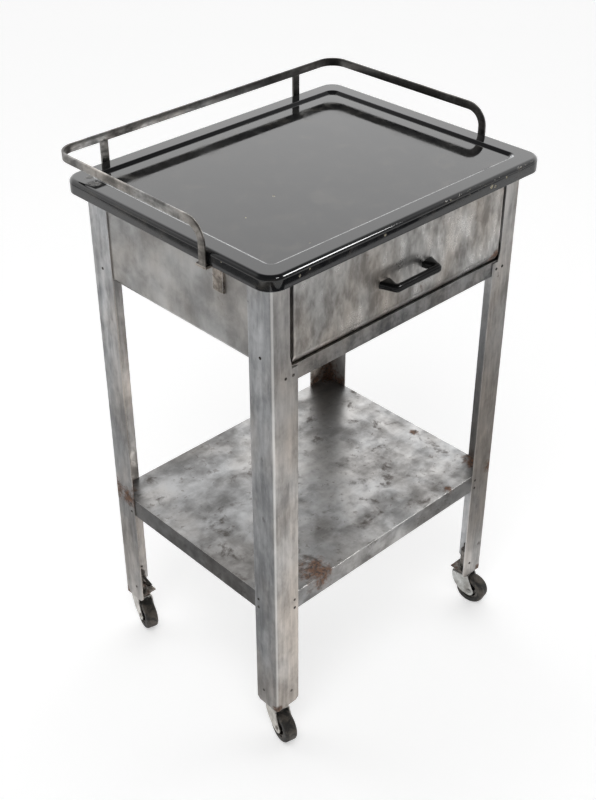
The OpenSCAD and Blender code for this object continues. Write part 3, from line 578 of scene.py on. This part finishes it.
def makeEnamel():
    look = enamelLook
    finish, tree, shader, place = startFinish("blackEnamel")
    split = addNode(tree, "ShaderNodeSeparateXYZ", {0: place})
    level = split.outputs["Z"]
    inRecess = remap(tree, level, look["recessTop"], look["recessFloor"])
    film = noiseOf(tree, place, 26.0, 6, 0.62, 0.8)
    film = calc(tree, "MULTIPLY", remap(tree, film, 0.5, 0.75), inRecess)
    smear = noiseOf(tree, mapped(tree, place, turn=(0, 0, 30), scale=(1, 0.3, 1)), 34.0, 6, 0.6)
    smear = calc(tree, "MULTIPLY", remap(tree, smear, 0.42, 0.72), inRecess)
    # painted reflection: a pale line along the near sides of the step, broken up by noise
    normal = addNode(tree, "ShaderNodeTexCoord").outputs["Normal"]
    tilt = addNode(tree, "ShaderNodeSeparateXYZ", {0: normal})
    lean = calc(tree, "MAXIMUM", tilt.outputs["X"], tilt.outputs["Y"])
    withinX = calc(tree, "LESS_THAN", calc(tree, "ABSOLUTE", split.outputs["X"]), look["stepX"])
    withinY = calc(tree, "LESS_THAN", calc(tree, "ABSOLUTE", split.outputs["Y"]), look["stepY"])
    paintedStepLine = calc(tree, "MULTIPLY", remap(tree, lean, 0.2, 0.4), calc(tree, "MULTIPLY", withinX, withinY))
    paintedStepLine = calc(tree, "MULTIPLY", paintedStepLine, calc(tree, "GREATER_THAN", tilt.outputs["Z"], 0.3))
    colour = mixColour(tree, calc(tree, "MULTIPLY", film, 0.5), look["black"], look["film"])
    colour = mixColour(tree, calc(tree, "MULTIPLY", smear, 0.5), colour, look["smear"])
    stepLineNoise = remap(tree, noiseOf(tree, place, 60.0, 5, 0.6), 0.3, 0.6, 0.35, 0.9)
    colour = mixColour(tree, calc(tree, "MULTIPLY", paintedStepLine, stepLineNoise), colour, look["stepReflection"])
    chips = patchesAt(tree, place, look["chips"], 0.45, 420.0)
    scuffNoise = noiseOf(tree, mapped(tree, place, scale=(0.5, 1, 1)), 300.0, 4, 0.7)
    fromEdge = calc(tree, "ABSOLUTE", calc(tree, "SUBTRACT", split.outputs["Y"], look["scuffY"]))
    frontEdge = remap(tree, fromEdge, look["scuffReach"], look["scuffCore"])
    worn = calc(tree, "MULTIPLY", frontEdge, remap(tree, scuffNoise, 0.6, 0.66))
    worn = calc(tree, "MULTIPLY", worn, remap(tree, split.outputs["X"], look["scuffFrom"], look["scuffFull"]))
    chips = calc(tree, "MAXIMUM", chips, calc(tree, "MULTIPLY", worn, 0.8))
    chipTone = noiseOf(tree, place, 700.0, 4, 0.6)
    chipColour = mixColour(tree, remap(tree, chipTone, 0.42, 0.6), look["chipDark"], look["chipPale"])
    colour = mixColour(tree, chips, colour, chipColour)
    crack = addNode(
        tree, "ShaderNodeTexVoronoi", {"Vector": mapped(tree, place, scale=(1, 1.6, 1)), "Scale": 150.0},
        feature="DISTANCE_TO_EDGE",
    )
    crazed = patchesAt(tree, place, look["crazed"], 0.4, 120.0)
    crackMask = calc(tree, "MULTIPLY", remap(tree, crack.outputs["Distance"], 0.05, 0.0), crazed)
    colour = mixColour(tree, calc(tree, "MULTIPLY", crazed, 0.5), colour, look["crazedBase"])
    colour = mixColour(tree, crackMask, colour, look["crackPale"])
    rough = calc(tree, "MULTIPLY_ADD", smear, 0.05, 0.05)
    rough = calc(tree, "MULTIPLY_ADD", film, 0.06, rough)
    rough = calc(tree, "MULTIPLY_ADD", calc(tree, "MAXIMUM", chips, crazed), 0.35, rough)
    wave = noiseOf(tree, place, 16.0, 2, 0.4)
    peel = noiseOf(tree, place, 620.0, 2, 0.5)
    height = calc(tree, "MULTIPLY_ADD", wave, look["wave"], calc(tree, "MULTIPLY", peel, look["peel"]))
    dents = calc(tree, "MULTIPLY", calc(tree, "MAXIMUM", chips, crackMask), look["chipDepth"])
    height = calc(tree, "SUBTRACT", height, dents)
    relief = addNode(tree, "ShaderNodeBump", {"Strength": 1.0, "Distance": 1.0, "Height": height})
    tree.links.new(colour, shader.inputs["Base Color"])
    tree.links.new(rough, shader.inputs["Roughness"])
    tree.links.new(relief.outputs[0], shader.inputs["Normal"])
    shader.inputs["IOR"].default_value = 1.5
    return finish


def makeHandleGloss():
    finish, tree, shader, place = startFinish("handleGloss")
    edges = useGroup(tree, edgeGroup, {"Radius": 0.0012, "Sharpness": 3.0})
    rub = remap(tree, noiseOf(tree, place, 260.0, 5, 0.65), 0.6, 0.7)
    rub = calc(tree, "MULTIPLY", rub, edges["Mask"])
    colour = mixColour(tree, rub, (0.005, 0.005, 0.005, 1), (0.12, 0.09, 0.06, 1))
    dust = noiseOf(tree, place, 120.0, 6, 0.6)
    rough = remap(tree, dust, 0.4, 0.8, 0.07, 0.22)
    wave = noiseOf(tree, place, 90.0, 2, 0.5)
    relief = addNode(tree, "ShaderNodeBump", {"Strength": 1.0, "Distance": 0.00012, "Height": wave})
    tree.links.new(colour, shader.inputs["Base Color"])
    tree.links.new(rough, shader.inputs["Roughness"])
    tree.links.new(relief.outputs[0], shader.inputs["Normal"])
    shader.inputs["Specular IOR Level"].default_value = 0.2
    return finish


def makeRubber():
    finish, tree, shader, place = startFinish("wornRubber")
    edges = useGroup(tree, edgeGroup, {"Radius": 0.002, "Sharpness": 5.0})
    grit = noiseOf(tree, place, 210.0, 8, 0.7)
    dirt = noiseOf(tree, place, 60.0, 6, 0.65, 0.8)
    colour = mixColour(tree, remap(tree, dirt, 0.4, 0.68), (0.022, 0.021, 0.02, 1), (0.11, 0.095, 0.078, 1))
    colour = mixColour(tree, calc(tree, "MULTIPLY", edges["Mask"], 0.5), colour, (0.15, 0.13, 0.11, 1))
    rough = remap(tree, grit, 0.3, 0.7, 0.55, 0.85)
    relief = addNode(
        tree, "ShaderNodeBump",
        {"Strength": 1.0, "Distance": 0.0003, "Height": grit, "Normal": edges["Normal"]},
    )
    tree.links.new(colour, shader.inputs["Base Color"])
    tree.links.new(rough, shader.inputs["Roughness"])
    tree.links.new(relief.outputs[0], shader.inputs["Normal"])
    return finish


enamel = makeEnamel()
handleGloss = makeHandleGloss()
rubber = makeRubber()

coat(["leg_" + c for c in corners], legSteel)
coat(["side_panel_left", "side_panel_right", "back_panel"], panelSteel)
coat(["front_rail", "upper_rail", "drawer_runner_left", "drawer_runner_right"], railSteel)
coat(["shelf"], shelfSteel)
coat(["guard_posts"], barSteel)
coat(["guard_lugs"], lugSteel)
coat(["drawer_box"], boxSteel)
coat(["drawer_stops", "handle_screws", "socket_clip"], darkSteel)
for corner in corners:
    coat(["socket_" + corner, "race_" + corner], socketSteel)
    coat(["fork_" + corner], forkSteel)
    coat(["axle_" + corner, "stem_" + corner], axleSteel)
    coat(["hub_" + corner], darkSteel)
    coat(["tyre_" + corner], rubber)
print("finishes laid on")


def addPiece(name, points, faces, finish, body, sharpAngle):
    mesh = bpy.data.meshes.new(name)
    mesh.from_pydata([[c * mm for c in p] for p in points], [], faces)
    piece = bpy.data.objects.new(name, mesh)
    bpy.context.scene.collection.objects.link(piece)
    mesh.materials.append(finish)
    tidyMesh(piece, sharpAngle)
    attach(piece, body)
    return piece


def tidyMesh(piece, sharpAngle):
    work = bmesh.new()
    work.from_mesh(piece.data)
    bmesh.ops.remove_doubles(work, verts=work.verts, dist=0.000002)
    bmesh.ops.recalc_face_normals(work, faces=work.faces)
    work.to_mesh(piece.data)
    work.free()
    piece.data.shade_smooth()
    piece.data.set_sharp_from_angle(angle=math.radians(sharpAngle))


def loftFaces(ringCount, ringSize, closed=True):
    faces = []
    for r in range(ringCount - 1):
        for i in range(ringSize if closed else ringSize - 1):
            j = (i + 1) % ringSize
            faces.append((r * ringSize + i, r * ringSize + j, (r + 1) * ringSize + j, (r + 1) * ringSize + i))
    return faces


topShape = {
    "halfX": 254.0, "halfY": 203.0, "corner": 24.0, "roll": 6.0, "top": 802.0, "foot": 782.0,
    "border": 26.5, "step": 4.8, "recess": 3.8, "sheet": 1.6, "recessCorner": 6.0,
}


def roundedRing(halfX, halfY, radius, height, steps=12):
    ring = []
    for signX, signY, start in ((1, 1, 0), (-1, 1, 90), (-1, -1, 180), (1, -1, 270)):
        for step in range(steps + 1):
            angle = math.radians(start + 90 * step / steps)
            ring.append((
                signX * (halfX - radius) + radius * math.cos(angle),
                signY * (halfY - radius) + radius * math.sin(angle), height,
            ))
    return ring


def buildTop():
    s = topShape
    inset = s["border"] + s["step"]  # how far the recess floor lies inside the outline
    soft = 1.2
    profile = []  # inset from the outline, height, corner radius

    def slopeRings(drop, reverse=False):
        rings = []
        steps = 10
        for i in range(steps + 1):
            t = i / steps
            run = s["step"] + 2 * soft
            into = inset + soft - run * t
            rise = s["recess"] * (t * t * (3 - 2 * t))
            rings.append((into, s["top"] - s["recess"] + rise - drop, s["recessCorner"] + run * t))
        return rings[::-1] if reverse else rings

    profile.append((inset + soft + 0.6, s["top"] - s["recess"], s["recessCorner"] - 0.6))
    profile += slopeRings(0)
    profile.append((s["border"] - soft - 0.5, s["top"], s["recessCorner"] + 8))
    profile.append((s["roll"] + 0.5, s["top"], s["corner"] - s["roll"] - 0.5))
    for i in range(9):
        angle = math.radians(90 * i / 8)
        into = s["roll"] * (1 - math.sin(angle))
        profile.append((into, s["top"] - s["roll"] * (1 - math.cos(angle)), s["corner"] - into))
    profile.append((0, s["top"] - s["roll"] - 0.5, s["corner"]))
    profile.append((0, s["foot"] + 1.3, s["corner"]))
    for i in range(1, 8):
        angle = math.radians(180 * i / 8)
        into = s["sheet"] / 2 * (1 - math.cos(angle))
        profile.append((into, s["foot"] + 0.8 - 0.8 * math.sin(angle), s["corner"] - into))
    profile.append((s["sheet"], s["foot"] + 1.3, s["corner"] - s["sheet"]))
    profile.append((s["sheet"], s["top"] - s["roll"] - 0.5, s["corner"] - s["sheet"]))
    innerRoll = s["roll"] - s["sheet"]
    for i in range(7):
        angle = math.radians(90 * (1 - i / 6))
        into = s["roll"] - innerRoll * math.sin(angle)
        profile.append((into, s["top"] - s["roll"] + innerRoll * math.cos(angle), s["corner"] - into))
    profile.append((s["border"] - soft - 0.5, s["top"] - s["sheet"], s["recessCorner"] + 8))
    profile += slopeRings(s["sheet"], True)

    rings = [roundedRing(s["halfX"] - into, s["halfY"] - into, radius, z) for into, z, radius in profile]
    size = len(rings[0])
    points = [p for ring in rings for p in ring]
    faces = loftFaces(len(rings), size)
    faces.append(tuple(range(size)))
    faces.append(tuple(range(len(points) - 1, len(points) - 1 - size, -1)))
    top = addPiece("enamelTop", points, faces, enamel, "frame", 60)
    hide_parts("tabletop")


buildTop()
print("top made")


drawerShape = {
    "halfWidth": 197.0, "low": 654.5, "high": 783.5, "face": -184.1, "depth": 14.0, "edge": 3.0,
    "ripple": 0.9, "sheet": 1.4, "cell": 3.2,
}


def buildDrawerFront():
    s = drawerShape
    # each entry is a place along the edge and how far the sheet has folded back there
    side = [(s["halfWidth"], s["depth"]), (s["halfWidth"], 7.0)]
    for a in range(0, 91, 15):
        side.append((
            s["halfWidth"] - s["edge"] * (1 - math.cos(math.radians(a))),
            s["edge"] * (1 - math.sin(math.radians(a))),
        ))
    inner = s["halfWidth"] - s["edge"]
    count = int(2 * inner / s["cell"])
    flat = [(-inner + 2 * inner * i / count, 0.0) for i in range(1, count)]
    across = [(-x, d) for x, d in side] + flat + side[::-1]

    low = s["low"]
    upright = [
        (low, s["depth"]), (low, 9.0), (low + 0.25, 8.0), (low + 0.9, 7.0), (low + 2.0, 6.1),
        (low + 4.0, 4.75), (low + 7.0, 3.2), (low + 10.0, 1.65),
        (low + 12.0, 0.7), (low + 13.2, 0.25), (low + 14.6, 0.05),
    ]
    start = low + 17.0
    stop = s["high"] - s["edge"]
    count = int((stop - start) / s["cell"])
    upright += [(start + (stop - start) * i / count, 0.0) for i in range(count)]
    for a in range(90, -1, -15):
        upright.append((
            stop + s["edge"] * math.cos(math.radians(a)), s["edge"] * (1 - math.sin(math.radians(a))),
        ))
    upright += [(s["high"], 7.0), (s["high"], s["depth"])]

    points = []
    for z, foldZ in upright:
        for x, foldX in across:
            fold = max(foldX, foldZ) if max(foldX, foldZ) > 2.9 else math.hypot(foldX, foldZ)
            inside = min(s["halfWidth"] - abs(x), s["high"] - z, (z - low) + 2) / 9.0
            fade = max(0.0, min(1.0, inside))
            lean = x + 0.36 * (z - low)
            ripple = 0.5 + 0.5 * noise.noise(Vector((lean / 17.0, z / 46.0, 3.7)))
            ripple += 0.28 * noise.noise(Vector((lean / 8.0, z / 19.0, 9.1)))
            deep = s["ripple"] * max(0.0, ripple) * fade
            points.append((x, s["face"] + min(fold + deep, s["depth"]), z))
    faces = loftFaces(len(upright), len(across), closed=False)
    front = addPiece("drawerFace", points, faces, drawerSteel, "drawer", 50)
    thick = front.modifiers.new("sheet", "SOLIDIFY")
    thick.thickness = s["sheet"] * mm
    thick.offset = -1
    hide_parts("drawer_front")


buildDrawerFront()
print("drawer front made")


handleShape = {
    "middle": 3.0, "height": 709.0, "tall": 11.0, "face": -184.1,
    # outer and inner points in plan, from the foot to the middle of the grip
    "outer": [
        (52.0, -0.6), (49.4, 5.0), (46.6, 13.0), (44.6, 19.0), (42.0, 23.2), (37.0, 24.5), (18.0, 24.5),
        (0.0, 24.5),
    ],
    "inner": [
        (30.0, -0.6), (31.6, 4.5), (33.6, 10.5), (35.0, 14.0), (33.8, 15.6), (31.0, 15.8), (17.0, 15.8),
        (0.0, 15.8),
    ],
}


def smoothPath(points, steps):
    # evenly smooth curve through the points
    path = []
    for i in range(len(points) - 1):
        p0 = Vector(points[max(i - 1, 0)])
        p1 = Vector(points[i])
        p2 = Vector(points[i + 1])
        p3 = Vector(points[min(i + 2, len(points) - 1)])
        for step in range(steps):
            t = step / steps
            path.append(0.5 * (
                2 * p1 + (p2 - p0) * t + (2 * p0 - 5 * p1 + 4 * p2 - p3) * t * t
                + (3 * p1 - p0 - 3 * p2 + p3) * t ** 3
            ))
    path.append(Vector(points[-1]))
    return path


def buildHandle():
    s = handleShape
    outer = smoothPath(s["outer"], 5)
    inner = smoothPath(s["inner"], 5)
    outerAll = [(-p.x, p.y) for p in outer] + [(p.x, p.y) for p in outer[-2::-1]]
    innerAll = [(-p.x, p.y) for p in inner] + [(p.x, p.y) for p in inner[-2::-1]]
    around = 28
    points = []
    for (ox, oy), (ix, iy) in zip(outerAll, innerAll):
        midX, midY = (ox + ix) / 2, (oy + iy) / 2
        legX, legY = (ox - ix) / 2, (oy - iy) / 2
        wide = math.hypot(legX, legY)
        power = 2.3 + 1.6 * max(0.0, min(1.0, (wide - 4.5) / 5.0))  # blockier towards the feet
        for k in range(around):
            angle = 2 * math.pi * k / around
            c, d = math.cos(angle), math.sin(angle)
            a = math.copysign(abs(c) ** (2 / power), c)
            b = math.copysign(abs(d) ** (2 / power), d)
            points.append((
                s["middle"] + midX + legX * a, s["face"] - midY - legY * a, s["height"] + s["tall"] / 2 * b,
            ))
    faces = loftFaces(len(outerAll), around)
    faces.append(tuple(range(around)))
    faces.append(tuple(range(len(points) - 1, len(points) - 1 - around, -1)))
    handle = addPiece("bowHandle", points, faces, handleGloss, "drawer", 45)
    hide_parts("drawer_handle")


buildHandle()
print("handle made")


def startTree(name, inputs):
    tree = bpy.data.node_groups.new(name, "GeometryNodeTree")
    tree.interface.new_socket(name="Geometry", in_out="INPUT", socket_type="NodeSocketGeometry")
    names = {}
    for label, kind, value in inputs:
        socket = tree.interface.new_socket(name=label, in_out="INPUT", socket_type="NodeSocket" + kind)
        if value is not None:
            socket.default_value = value
        names[label] = socket.identifier
    tree.interface.new_socket(name="Geometry", in_out="OUTPUT", socket_type="NodeSocketGeometry")
    return tree, tree.nodes.new("NodeGroupInput").outputs, tree.nodes.new("NodeGroupOutput").inputs, names


def growPiece(name, points, edges, attributes, tree, names, values, body, sharpAngle):
    # runs the tree on a seed mesh and keeps the result as a plain mesh
    seed = bpy.data.meshes.new(name + "Seed")
    seed.from_pydata([[c * mm for c in p] for p in points], edges, [])
    for label, kind, numbers in attributes:
        layer = seed.attributes.new(label, kind, "POINT")
        for i, value in enumerate(numbers):
            if kind == "FLOAT_VECTOR":
                layer.data[i].vector = value
            else:
                layer.data[i].value = value
    piece = bpy.data.objects.new(name, seed)
    bpy.context.scene.collection.objects.link(piece)
    modifier = piece.modifiers.new("grow", "NODES")
    modifier.node_group = tree
    for label, value in values.items():
        modifier[names[label]] = value
    graph = bpy.context.evaluated_depsgraph_get()
    grown = bpy.data.meshes.new_from_object(
        piece.evaluated_get(graph), preserve_all_data_layers=True, depsgraph=graph
    )
    piece.modifiers.remove(modifier)
    piece.data = grown
    bpy.data.meshes.remove(seed)
    tidyMesh(piece, sharpAngle)
    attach(piece, body)
    return piece


def makeBarTree(finish):
    tree, given, result, names = startTree(
        "flatBar",
        [
            ("Bar Height", "Float", 0.012), ("Bar Thickness", "Float", 0.0032),
            ("Edge Round", "Float", 0.0009), ("Bend Steps", "Int", 14), ("Finish", "Material", finish),
        ],
    )
    curve = addNode(tree, "GeometryNodeMeshToCurve", {"Mesh": given["Geometry"]})
    radius = addNode(tree, "GeometryNodeInputNamedAttribute", {"Name": "bendRadius"}, data_type="FLOAT")
    bent = addNode(
        tree, "GeometryNodeFilletCurve",
        {
            "Curve": curve.outputs[0], "Count": given["Bend Steps"], "Radius": radius.outputs["Attribute"],
        },
        mode="POLY",
    )
    outline = addNode(
        tree, "GeometryNodeCurvePrimitiveQuadrilateral",
        {"Width": given["Bar Thickness"], "Height": given["Bar Height"]}, mode="RECTANGLE",
    )
    softened = addNode(
        tree, "GeometryNodeFilletCurve",
        {"Curve": outline.outputs[0], "Count": 4, "Radius": given["Edge Round"]}, mode="POLY",
    )
    solid = addNode(
        tree, "GeometryNodeCurveToMesh",
        {"Curve": bent.outputs[0], "Profile Curve": softened.outputs[0], "Fill Caps": True},
    )
    real = addNode(tree, "GeometryNodeRealizeInstances", {0: solid.outputs[0]})
    dressed = addNode(
        tree, "GeometryNodeSetMaterial", {"Geometry": real.outputs[0], "Material": given["Finish"]}
    )
    tree.links.new(dressed.outputs[0], result["Geometry"])
    return tree, names


barShape = {
    "halfX": 259.6, "back": 208.6, "thick": 3.2, "tall": 12.0, "top": 840.0, "front": -96.0, "foot": 780.8,
    "corner": 28.0, "drop": 32.0,
}


def buildGuardRail():
    s = barShape
    x = s["halfX"] - s["thick"] / 2
    back = s["back"] - s["thick"] / 2
    front = s["front"] + s["tall"] / 2
    middle = s["top"] - s["tall"] / 2
    points = [
        (-x, front, s["foot"]), (-x, front, middle), (-x, back, middle),
        (x, back, middle), (x, front, middle), (x, front, s["foot"]),
    ]
    cornerRadius = (s["corner"] - s["thick"] / 2) * mm
    dropRadius = (s["drop"] - s["tall"] / 2) * mm
    radii = [0, dropRadius, cornerRadius, cornerRadius, dropRadius, 0]
    tree, names = makeBarTree(barSteel)
    rail = growPiece(
        "guardBar", points, [(i, i + 1) for i in range(5)], [("bendRadius", "FLOAT", radii)],
        tree, names, {"Bar Height": s["tall"] * mm, "Bar Thickness": s["thick"] * mm},
        "frame", 40,
    )
    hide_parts("guard_rail")
    low = [min(v.co[i] for v in rail.data.vertices) / mm for i in range(3)]
    high = [max(v.co[i] for v in rail.data.vertices) / mm for i in range(3)]
    print("guard bar box", [round(v, 1) for v in low], [round(v, 1) for v in high])


buildGuardRail()


def makeRivetTree(finish):
    tree, given, result, names = startTree(
        "domedRivets",
        [
            ("Head Radius", "Float", 0.0024), ("Head Rise", "Float", 0.0009), ("Unevenness", "Float", 0.12),
            ("Seed", "Int", 4), ("Finish", "Material", finish),
        ],
    )
    facing = addNode(
        tree, "GeometryNodeInputNamedAttribute", {"Name": "facing"}, data_type="FLOAT_VECTOR"
    )
    turn = addNode(
        tree, "FunctionNodeAlignRotationToVector", {"Vector": facing.outputs["Attribute"]}, axis="Z"
    )
    head = addNode(tree, "GeometryNodeMeshUVSphere", {"Segments": 18, "Rings": 10, "Radius": 1.0})
    low = addNode(tree, "ShaderNodeMath", {0: 1.0, 1: given["Unevenness"]}, operation="SUBTRACT")
    vary = addNode(tree, "FunctionNodeRandomValue", {"Seed": given["Seed"]}, data_type="FLOAT")
    tree.links.new(low.outputs[0], vary.inputs[2])
    vary.inputs[3].default_value = 1.0
    size = addNode(
        tree, "ShaderNodeCombineXYZ",
        {"X": given["Head Radius"], "Y": given["Head Radius"], "Z": given["Head Rise"]},
    )
    scale = addNode(
        tree, "ShaderNodeVectorMath", {0: size.outputs[0], "Scale": vary.outputs[1]}, operation="SCALE"
    )
    placed = addNode(
        tree, "GeometryNodeInstanceOnPoints",
        {
            "Points": given["Geometry"], "Instance": head.outputs[0],
            "Rotation": turn.outputs[0], "Scale": scale.outputs[0],
        },
    )
    real = addNode(tree, "GeometryNodeRealizeInstances", {0: placed.outputs[0]})
    dressed = addNode(
        tree, "GeometryNodeSetMaterial", {"Geometry": real.outputs[0], "Material": given["Finish"]}
    )
    tree.links.new(dressed.outputs[0], result["Geometry"])
    return tree, names


rivetShape = {
    "legX": 232.5, "legY": 182.5, "railX": (197.5, 210.5), "railZ": 641.0, "panelZ": 671.0, "sideY": 160.5,
    "backX": 200.5, "shelfX": 196.5, "shelfY": 146.5, "shelfZ": (265.0, 250.0), "socketX": 203.5,
    "socketY": 153.5, "socketZ": 88.0, "radius": 2.4, "rise": 0.9,
}


def buildRivets():
    s = rivetShape
    spots = []  # place and outward direction
    for side in (-1, 1):
        for x in s["railX"]:
            spots.append(((side * x, -s["legY"], s["railZ"]), (0, -1, 0)))
        for y in (-s["sideY"], s["sideY"]):
            spots.append(((side * s["legX"], y, s["panelZ"]), (side, 0, 0)))
        spots.append(((side * s["backX"], s["legY"], s["panelZ"]), (0, 1, 0)))
        for end in (-1, 1):
            for z in s["shelfZ"]:
                spots.append(((side * s["shelfX"], end * s["legY"], z), (0, end, 0)))
                spots.append(((side * s["legX"], end * s["shelfY"], z), (side, 0, 0)))
            spots.append(((side * s["socketX"], end * s["legY"], s["socketZ"]), (0, end, 0)))
            spots.append(((side * s["legX"], end * s["socketY"], s["socketZ"]), (side, 0, 0)))
    tree, names = makeRivetTree(darkSteel)
    heads = growPiece(
        "rivetHeads", [p for p, d in spots], [], [("facing", "FLOAT_VECTOR", [d for p, d in spots])],
        tree, names, {"Head Radius": s["radius"] * mm, "Head Rise": s["rise"] * mm},
        "frame", 60,
    )
    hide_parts("frame_rivets", "shelf_rivets", "socket_rivets")
    print("rivets:", len(spots))


buildRivets()


def lightGlossOnly(lampNames, pieces):
    # the windows are for highlights on the top, the handle and the shelf's edge, so no other steel takes them
    glossy = bpy.data.collections.new("glossyPieces")
    for piece in pieces:
        glossy.objects.link(piece)
    for name in lampNames:
        bpy.data.objects[name].light_linking.receiver_collection = glossy


lightGlossOnly(
    ["frontWindow", "cornerWindow"],
    [bpy.data.objects["enamelTop"], bpy.data.objects["bowHandle"], parts["shelf"]],
)
